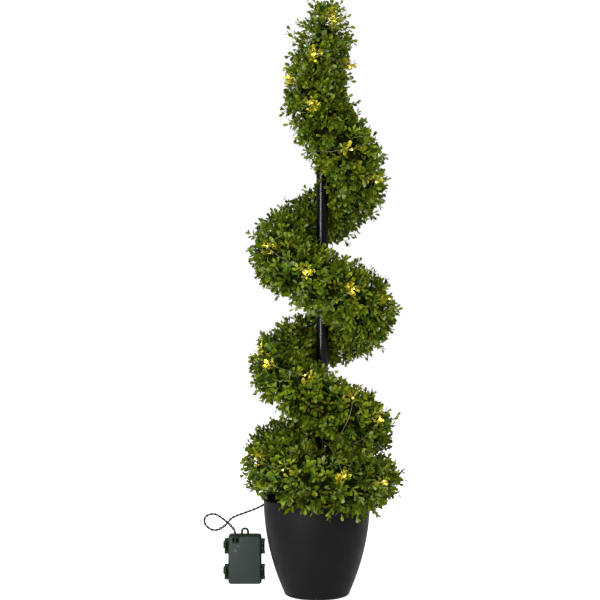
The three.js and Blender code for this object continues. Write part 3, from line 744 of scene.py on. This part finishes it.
def add_mat(roll):
    """The wound mat that the twigs are moulded on: a lumpy tube well inside the leaves, near-black as
    painted shade in the gaps between them.
    """
    middle = np.arange(MAT_CAP, roll.length - MAT_END - MAT_FROM, MAT_STEP)
    tail = roll.length - np.array(MAT_END_RINGS)
    places = roll.nearest(np.concatenate([MAT_FROM + np.append(MAT_CAP_RINGS, middle), tail]))
    angles = circle(36)
    rng = np.random.default_rng(3)
    rings = [[roll.centre[places[0]]]]
    for place in places:
        full = min(1, MAT_TIP_SHARE + (1 - MAT_TIP_SHARE) * roll.along[place] / MAT_FULL_FROM)
        below_top = min(1, (roll.along[place] - MAT_FROM) / MAT_CAP)
        share = MAT_SHARE * full * math.sqrt(max(0, 1 - (1 - below_top) ** 2))
        ring = np.full(len(angles), place)
        lumps = rng.uniform(-MAT_LUMPS, MAT_LUMPS, len(angles))
        lumps *= min(1, roll.core[place] / MAT_LUMPS_FULL)
        rings.append(roll.surface(ring, angles, roll.reach(ring, angles) * share + lumps))
    rings.append([roll.centre[-1]])
    masses = [f"foliage_{i:02d}" for i in range(1, 17)]
    add_piece("wound_mat", *skin(rings, ends="open"), "mat", "twig", masses)


def grow_sprays(roll, rng):
    """Twigs out of the roll: for each its place, foot, growth, length and bend, and its leaves' size."""
    places, angles = scatter(roll)
    count = len(places)
    step, steepest, most_slanting = 3, 3, 0.7
    before = roll.reach(roll.nearest(roll.along[places] - step), angles)
    after = roll.reach(roll.nearest(roll.along[places] + step), angles)
    slope = np.clip((before - after) / (2 * step), -steepest, steepest)
    radial = roll.outward(places, angles)
    outward = unit(radial + roll.heading[places] * slope[:, None])
    crown = roll.along[places] < CROWN
    loose = (roll.along[places] < LOOSE_TIP) & (outward[:, 0] < LOOSE_SIDE)
    most_sway = np.where(crown | loose, CROWN_SWAY, TWIG_SWAY)[:, None]
    growth = unit(outward + rng.uniform(-1, 1, (count, 3)) * most_sway)
    core = roll.reach(places, angles)
    foot_share = np.where(crown, CROWN_FOOT, np.where(loose, LOOSE_TIP_FOOT, FOOT_SHARE))
    foot = roll.centre[places] + radial * (core * foot_share)[:, None]
    stray = rng.random(count) < STRAY_SHARE
    out = np.where(stray, rng.uniform(*STRAY_OUT, count), rng.normal(*TIP_OUT, count))
    ragged = loose & (rng.random(count) < RAGGED_SHARE)
    out = np.where(ragged, rng.uniform(*LOOSE_TIP_OUT, count), out)
    kept = ~loose | crown | (rng.random(count) < LOOSE_TIP_KEPT)
    long = rng.random(count) < CROWN_LONG_SHARE
    out = np.where(crown, rng.uniform(*CROWN_OUT, count), out)
    out = np.where(crown & long, rng.uniform(*CROWN_LONG, count), out)
    edge = roll.centre[places] + radial * core[:, None]
    past_rim = np.hypot(edge[:, 0], edge[:, 1]) > FRINGE_FROM
    fringe = past_rim & (edge[:, 2] < FRINGE_BELOW)
    fringe &= (edge[:, 1] < FRINGE_FRONT) & (edge[:, 0] < FRINGE_RIGHT_END)
    out = np.where(fringe, rng.uniform(*FRINGE_OUT, count), out)
    underside = (edge[:, 0] > UNDERSIDE_FROM) & (edge[:, 2] < UNDERSIDE_BELOW) & ~fringe
    out = np.where(underside, np.minimum(out, UNDERSIDE_OUT), out)
    facing = np.maximum(most_slanting, np.sum(growth * outward, axis=1))
    length = (core * (1 - foot_share) + out) / facing
    bend = rng.uniform(-1, 1, (count, 3)) * TWIG_BEND
    bend[fringe, 2] -= FRINGE_DROOP
    leaf = np.where(crown | loose, CROWN_LEAF, np.where(stray, STRAY_LEAF, 1.0))
    sprays = {"place": places, "foot": foot, "growth": growth, "length": length, "bend": bend,
              "leaf": leaf}
    return keep(sprays, kept)


def keep(sprays, kept):
    return {name: values[kept] for name, values in sprays.items()}


def along_spray(sprays, share):
    """Points at a share of each twig's length, and the way that it grows there."""
    length = sprays["length"][:, None]
    points = sprays["foot"] + length * (share * sprays["growth"] + share ** 2 * sprays["bend"])
    return points, unit(sprays["growth"] + 2 * share * sprays["bend"])


def stem_mesh(sprays):
    """Three-sided tapering stems, two lengths each."""
    across, over = axes_across(sprays["growth"])
    rings = []
    for share, radius in zip((0, 0.55, 1.0), STEM_RADII):
        middle, _ = along_spray(sprays, share)
        for turn in circle(3):
            rings.append(middle + radius * (math.cos(turn) * across + math.sin(turn) * over))
    faces = []
    for first in (0, 3):
        for k in range(3):
            low, near = first + k, first + (k + 1) % 3
            faces += [(low, near, near + 3), (low, near + 3, low + 3)]
    return np.stack(rings, axis=1), faces + [(6, 7, 8)]


# A leaf's corners as shares of its length and half width, and its lift as a share of its length
LEAF_CORNERS = np.array([
    (0.00, 0.00, 0.00),
    (0.36, -0.36, 0.03), (0.36, 0.36, 0.03),
    (0.64, -0.93, 0.04), (0.64, 0.00, -0.03), (0.64, 0.93, 0.04),
    (0.85, -0.95, 0.02), (0.85, 0.95, 0.02),
    (0.97, -0.52, -0.02), (0.97, 0.52, -0.02),
    (1.01, 0.00, -0.04),
])
LEAF_FACES = [
    (0, 2, 1), (1, 4, 3), (1, 2, 4), (2, 5, 4), (3, 4, 6), (4, 7, 6), (4, 5, 7),
    (6, 7, 8), (7, 9, 8), (8, 9, 10),
]
LEAF_WAIST = 4
LEAF_TIP = 10


def grow_leaves(sprays, rng):
    """Pairs of leaves up each twig, each pair crossing the one below: their corners, spray and pair."""
    count = len(sprays["place"])
    start = rng.uniform(0, 2 * np.pi, count)
    corners = []
    for pair, (share, tilt) in enumerate(zip(LEAF_NODES, LEAF_TILTS)):
        root, growth = along_spray(sprays, share)
        across, over = axes_across(growth)
        for half in range(2):
            turn = start + pair * np.pi / 2 + half * np.pi + rng.normal(0, LEAF_SPREAD["turn"], count)
            radial = np.cos(turn)[:, None] * across + np.sin(turn)[:, None] * over
            lean = np.radians(tilt + rng.normal(0, LEAF_SPREAD["tilt"], count))[:, None]
            direction = np.cos(lean) * growth + np.sin(lean) * radial
            above = np.sin(lean) * growth - np.cos(lean) * radial
            right = np.cross(direction, above)
            rolled = rng.normal(0, LEAF_SPREAD["roll"], count)[:, None]
            above, right = (np.cos(rolled) * above + np.sin(rolled) * right,
                            np.cos(rolled) * right - np.sin(rolled) * above)
            size = sprays["leaf"] * rng.uniform(*LEAF_SPREAD["size"], count)
            size = size * (TOP_LEAF if share == LEAF_NODES[-1] else 1)
            length = LEAF_LENGTH * size
            width = LEAF_WIDTH / 2 * size * rng.uniform(*LEAF_SPREAD["width"], count)
            curl = rng.normal(1.0, LEAF_SPREAD["curl"], count)
            along, sideways, lift = LEAF_CORNERS.T
            corners.append(root[:, None] + direction[:, None] * (along * length[:, None])[..., None]
                           + right[:, None] * (sideways * width[:, None])[..., None]
                           + above[:, None] * (lift * curl[:, None] * length[:, None])[..., None])
    spray_of = np.tile(np.arange(count), len(corners))
    pair_of = np.repeat(np.arange(len(LEAF_NODES)), 2 * count)
    return np.concatenate(corners), spray_of, pair_of


def distance_past(points, starts, ways):
    """Distance of each point from the nearest of the rays that run from the starts along the ways."""
    away = points[:, None] - starts
    past = np.maximum(0, np.sum(away * ways, axis=2, keepdims=True))
    return np.linalg.norm(away - past * ways, axis=2).min(axis=1)


def add_foliage(roll, bulbs, bulb_ways):
    rng = np.random.default_rng(11)
    sprays = grow_sprays(roll, rng)
    tips, _ = along_spray(sprays, 1.0)
    middles, _ = along_spray(sprays, 0.6)
    free = roll.keeps_to_turn(tips, sprays["place"])
    for points, margin in ((tips, 1), (middles, 1), (sprays["foot"], 0.5)):
        free &= clear_of_limbs(points, margin, TWIG_OPENING_SHARE)
    sprays = keep(sprays, free)
    add_piece("twigs", *repeated(*stem_mesh(sprays)), "twig", "twig")

    names = list(LEAF_TINTS)
    shares = np.array([LEAF_TINTS[name]["share"] for name in names])
    shares /= shares.sum()
    tint = rng.choice(len(names), size=free.sum(), p=shares)
    corners, spray_of, pair_of = grow_leaves(sprays, rng)
    ends, waists = corners[:, LEAF_TIP], corners[:, LEAF_WAIST]
    free = roll.keeps_to_turn(ends, sprays["place"][spray_of])
    for points in (ends, waists):
        free &= clear_of_limbs(points, 0.6) & (distance_past(points, bulbs, bulb_ways) > BULB_ROOM)
    corners, spray_of, pair_of = corners[free], spray_of[free], pair_of[free]
    young = np.array([names.index(LEAF_TINTS[name]["young"]) for name in names])
    leaf_tint = np.where(pair_of == len(LEAF_NODES) - 1, young[tint[spray_of]], tint[spray_of])
    odd = rng.random(len(leaf_tint)) < ODD_LEAVES
    leaf_tint[odd] = rng.choice(len(names), size=odd.sum(), p=shares)
    # Leaves near a bulb take the painted glow tints, the brighter one nearer to it
    off_bulb = np.linalg.norm(corners[:, LEAF_WAIST, None] - bulbs, axis=2).min(axis=1)
    lit = off_bulb < GLOW_REACH
    bright = off_bulb < BRIGHT_REACH
    groups = {name: (leaf_tint == number) & ~lit for number, name in enumerate(names)}
    groups["lit"] = lit & ~bright
    groups["bright"] = bright
    for name, chosen in groups.items():
        add_piece("leaves_" + name, *repeated(corners[chosen], LEAF_FACES), name, "foliage")


# String lights
def turn_between(first, second):
    """The shorter way round from one angle to the other."""
    return np.angle(np.exp(1j * (second - first)))


def place_bulbs(roll):
    """Bulbs on the roll's surface in order down it: those that the front shows, then more behind."""
    stations = np.arange(0, len(roll.along), 2)
    round_turn = circle(96)
    places = np.repeat(stations, len(round_turn))
    angles = np.tile(round_turn, len(stations))
    surface = roll.surface(places, angles, roll.reach(places, angles) + BULB_OUT)
    seen = as_seen(surface)
    chosen = []
    for place in FRONT_BULBS:
        apart = np.linalg.norm(seen - place, axis=1)
        near = np.nonzero(apart < max(FRONT_BULB_NEAR, apart.min() + 2))[0]
        foremost = near[surface[near, 1] < surface[near, 1].min() + FRONT_BULB_DEPTH]
        chosen.append(foremost[np.argmin(apart[foremost])])
    front = surface[chosen]
    behind = (surface - roll.centre[places])[:, 1] > BACK_BULBS["behind"]
    free = behind & clear_of_limbs(surface, BACK_BULBS["clear"]) & roll.keeps_to_turn(surface, places)
    last = roll.length - BACK_BULBS["from_end"]
    for number, along in enumerate(np.arange(BACK_BULBS["from_top"], last, BACK_BULBS["spacing"])):
        turned = np.abs(turn_between(number * GOLDEN_ANGLE, angles))
        off = np.abs(roll.along[places] - along) + ANGLE_WEIGHT * turned
        best = np.argmin(np.where(free, off, np.inf))
        if np.linalg.norm(surface[best] - front, axis=1).min() > BACK_BULBS["apart"]:
            chosen.append(best)
    chosen = sorted(set(chosen), key=lambda i: roll.along[places[i]])
    return surface[chosen], places[chosen], angles[chosen]


def add_bulbs(surface, outward):
    """Clear drops on the light wire, each standing out from the leaves."""
    profile = [(across * BULB_RADIUS, up * (BULB_TIP if up > 0 else BULB_RADIUS))
               for across, up in [(0, -1), *arc((0, 0), 1, -75, 75, 8), (0, 1)]]
    drop, faces = lathe(profile, 12)
    across, over = axes_across(outward, (0.2, 0.3, 0.93))
    drops = surface[:, None] + drop @ np.stack([across, over, outward], axis=1)
    bulbs = add_piece("bulbs", *repeated(drops, faces), "bulb", "bulb")
    bulbs.visible_shadow = False
    for number, (place, out) in enumerate(zip(surface, outward), 1):
        data = bpy.data.lights.new(f"glow_{number}", "POINT")
        data.energy = GLOW_POWER
        data.shadow_soft_size = 2 * MM
        data.color = GLOW_COLOR
        add_object(data).location = (place + out * 2) * MM


def add_light_wire(roll, surface, places, angles):
    """The thin wire from bulb to bulb, wound round the roll over its leaves."""
    path = []
    for i in range(len(surface) - 1):
        steps = max(3, int(np.linalg.norm(surface[i + 1] - surface[i]) / WIRE_STEP))
        share = np.arange(steps) / steps
        place = roll.nearest(roll.along[places[i]] * (1 - share) + roll.along[places[i + 1]] * share)
        angle = angles[i] + turn_between(angles[i], angles[i + 1]) * share
        reach = roll.reach(place, angle) + BULB_OUT - WIRE_SAG * np.sin(np.pi * share)
        path.append(roll.surface(place, angle, reach))
    path = smooth_path(np.vstack(path + [surface[-1:]]), 4)
    add_piece("light_wire", *skin(rings_along(path, WIRE_RADIUS, 5)), "wire", "light_wire")


# Battery case
def rounded_outline(width, height, corner):
    """Outline of a rounded rectangle round (0, 0) in X and Z."""
    outline = []
    for quarter, (side, end) in enumerate(((1, 1), (-1, 1), (-1, -1), (1, -1))):
        centre = (side * (width / 2 - corner), end * (height / 2 - corner))
        outline += arc(centre, corner, 90 * quarter, 90 * quarter + 90, 8)
    return outline


def block(outlines, depths):
    """Points and faces of a closed block over outlines in X and Z, each at its depth in Y."""
    return skin([[(x, y, z) for x, z in reversed(outline)] for outline, y in zip(outlines, depths)])


def slab(shape):
    """A rounded block from Y = 0 to its depth, its front and back edges rounded by the edge radius."""
    width, height, depth = shape["width"], shape["height"], shape["depth"]
    corner, edge = shape["corner"], shape["edge"]
    levels = [(edge * (1 - up), edge * (1 - across)) for across, up in arc((0, 0), 1, 0, 90, 4)]
    levels += [(inset, depth - y) for inset, y in reversed(levels)]
    outlines = [rounded_outline(width - 2 * inset, height - 2 * inset, max(0.2, corner - inset))
                for inset, _ in levels]
    return block(outlines, [y for _, y in levels])


def prism(outline, depth, edge):
    """A block over one outline from Y = 0 to its depth, with chamfers on its two faces."""
    outline = np.array(outline)
    middle = outline.mean(axis=0)
    shrink = 1 - edge / np.abs(outline - middle).max()
    outlines = [middle + (outline - middle) * share for share in (shrink, 1, 1, shrink)]
    return block(outlines, (0, edge, depth - edge, depth))


def pocket(shape, x, z, front):
    """An oval rod that starts in front of a piece, for cutting a pocket into it."""
    width, height = shape["half_width"], shape["half_height"]
    outline = [(x + width * math.cos(turn), z + height * math.sin(turn)) for turn in circle(24)]
    return block([outline, outline], (front - 2, front + shape["deep"]))


def cut(piece, *cutters):
    """Cuts closed (points, faces) shapes out of a piece and gives the cut walls the near-black pocket
    material, painted shade.
    """
    for points, faces in cutters:
        tool = add_mesh("cutter", points, faces, "pocket")
        modifier = piece.modifiers.new("cut", "BOOLEAN")
        modifier.object = tool
        modifier.operation = "DIFFERENCE"
        modifier.solver = "EXACT"
        modifier.material_mode = "TRANSFER"
        bpy.context.view_layer.update()
        graph = bpy.context.evaluated_depsgraph_get()
        result = bpy.data.meshes.new_from_object(piece.evaluated_get(graph))
        piece.modifiers.clear()
        piece.data = result
        bpy.data.objects.remove(tool)
    piece.data.set_sharp_from_angle(angle=math.radians(40))


def add_case_piece(name, mesh, place, replaced=(), material="case", slot="case"):
    points, faces = mesh
    return add_piece(name, points + place, faces, material, slot, replaced, sharp_angle=40)


def add_latch(number, x, front, level):
    """A block with a tab to pull and a pocket."""
    half = LATCH["tall"] / 2
    low = LATCH_TAB["raised"] - LATCH_TAB["tall"] / 2
    high = LATCH_TAB["raised"] + LATCH_TAB["tall"] / 2
    body, outer, slope = -LATCH["out"], -LATCH["out"] - LATCH_TAB["out"], LATCH_TAB["slope"]
    outline = [(0, half), (body + 1, half), (body, half - 1), (body, high), (outer, high - slope),
               (outer, low + slope), (body, low), (body, 1 - half), (body + 1, -half), (0, -half)]
    latch = add_case_piece(f"latch_{number}", prism(outline, LATCH["depth"], LATCH["edge"]),
                           (x, front, level), [f"case_latch_left_{number}"])
    cut(latch, pocket(LATCH_POCKET, x - LATCH_POCKET["out"], level, front))


def add_hinge(number, x, front, level):
    """A block with a slight waist, a pocket and two holes."""
    half, waist_half = HINGE["tall"] / 2, HINGE["waist_tall"] / 2
    outer, waist = HINGE["out"], HINGE["waist"]
    outline = [(0, -half), (outer - 1, -half), (outer, 1 - half), (waist, -waist_half),
               (waist, waist_half), (outer, half - 1), (outer - 1, half), (0, half)]
    hinge = add_case_piece(f"hinge_{number}", prism(outline, LATCH["depth"], LATCH["edge"]),
                           (x, front, level), [f"case_latch_right_{number}"])
    holes = [pocket(HINGE_HOLE, x + HINGE_HOLE["out"], level + rise, front)
             for rise in (-HINGE_HOLE["apart"], HINGE_HOLE["apart"])]
    cut(hinge, *holes, pocket(HINGE_POCKET, x + HINGE_POCKET["out"], level, front))


def add_hanging_loop(x, y, foot):
    radius, shoulder = LOOP["radius"] - LOOP["bar"] / 2, foot + LOOP["leg"]
    leg = np.linspace(foot, shoulder, 5)[:-1]
    path = [(x + radius, y, height) for height in leg]
    path += [(across, y, height) for across, height in arc((x, shoulder), radius, 0, 180, 20)]
    path += [(x - radius, y, height) for height in reversed(leg)]
    points, faces = skin(rings_along(path, LOOP["bar"] / 2, 16))
    points[:, 1] = y + (points[:, 1] - y) * LOOP["depth"] / LOOP["bar"]
    add_piece("case_loop", points, faces, "case", "case", ["hanging_loop"], sharp_angle=50)


def add_gland(x, front):
    """A raised boot with two oval pockets and the ridge between them that grips the lead."""
    gland = add_case_piece("lead_boot", slab(GLAND), (x, front, GLAND["level"]), ["lead_gland"])
    sides = (x - GLAND_POCKET["out"], x + GLAND_POCKET["out"])
    level = GLAND["level"] - GLAND_POCKET["down"]
    cut(gland, *(pocket(GLAND_POCKET, side, level, front) for side in sides))


def add_button(x, back):
    """A dished round button that faces the front."""
    radius, depth, edge = BUTTON["radius"], BUTTON["depth"], BUTTON["edge"]
    profile = [(0, 0), (radius, 0)] + arc((radius - edge, depth - edge), edge, 0, 90, 4)
    profile += [(radius * 0.75, depth), (radius * 0.4, depth - 0.25), (0, depth - BUTTON["dish"])]
    points, faces = lathe(profile, 40)
    turned = points[:, [0, 2, 1]] * (1, -1, 1) + (x, back, BUTTON["level"])
    add_piece("case_button", turned, faces, "button", "case_lid", ["push_button"], sharp_angle=50)


def add_case():
    """The body with a seam round it, the lid with a rib, and what is fixed to them."""
    x, front, side, middle = CASE["x"], CASE["front"], CASE["width"] / 2 + GAP, CASE["height"] / 2
    lid_front = front - GAP - LID["depth"]
    add_case_piece("case_body", slab(CASE), (x, front, middle), ["battery_case"])
    add_case_piece("case_seam", slab(SEAM), (x, front + SEAM["back"], middle))
    add_case_piece("case_lid", slab(LID), (x, lid_front, middle), ["battery_lid"], "lid", "case_lid")
    for number, level in enumerate(LATCH_HEIGHTS, 1):
        add_latch(number, x - side, front + LATCH["back"], level)
        add_hinge(number, x + side, front + LATCH["back"], level)
    add_hanging_loop(x, front + LOOP["back"] + LOOP["depth"] / 2, CASE["height"] + GAP)
    add_gland(x + GLAND["x"], lid_front - GAP - GLAND["depth"])
    add_button(x + BUTTON["x"], lid_front - GAP)
    rib_place = (x + RIB["x"], lid_front - RIB_RAISED, RIB["level"])
    add_case_piece("case_rib", slab(RIB), rib_place, (), "rib", "case_lid")


def add_floor():
    rim = FLOOR_RADIUS * np.array([(math.cos(turn), math.sin(turn), 0) for turn in circle(96)])
    add_mesh("floor", rim, [tuple(range(len(rim)))], "floor")


# Assembly
materials = make_materials()
add_camera()
add_lead()
add_studio()
add_floor()
add_planter()
add_ballast()
add_pole()
add_struts()
add_frame_end()
add_case()
roll = Roll()
add_mat(roll)
bulb_points, bulb_places, bulb_angles = place_bulbs(roll)
bulb_outward = roll.outward(bulb_places, bulb_angles)
add_foliage(roll, bulb_points, bulb_outward)
add_bulbs(bulb_points, bulb_outward)
add_light_wire(roll, bulb_points, bulb_places, bulb_angles)
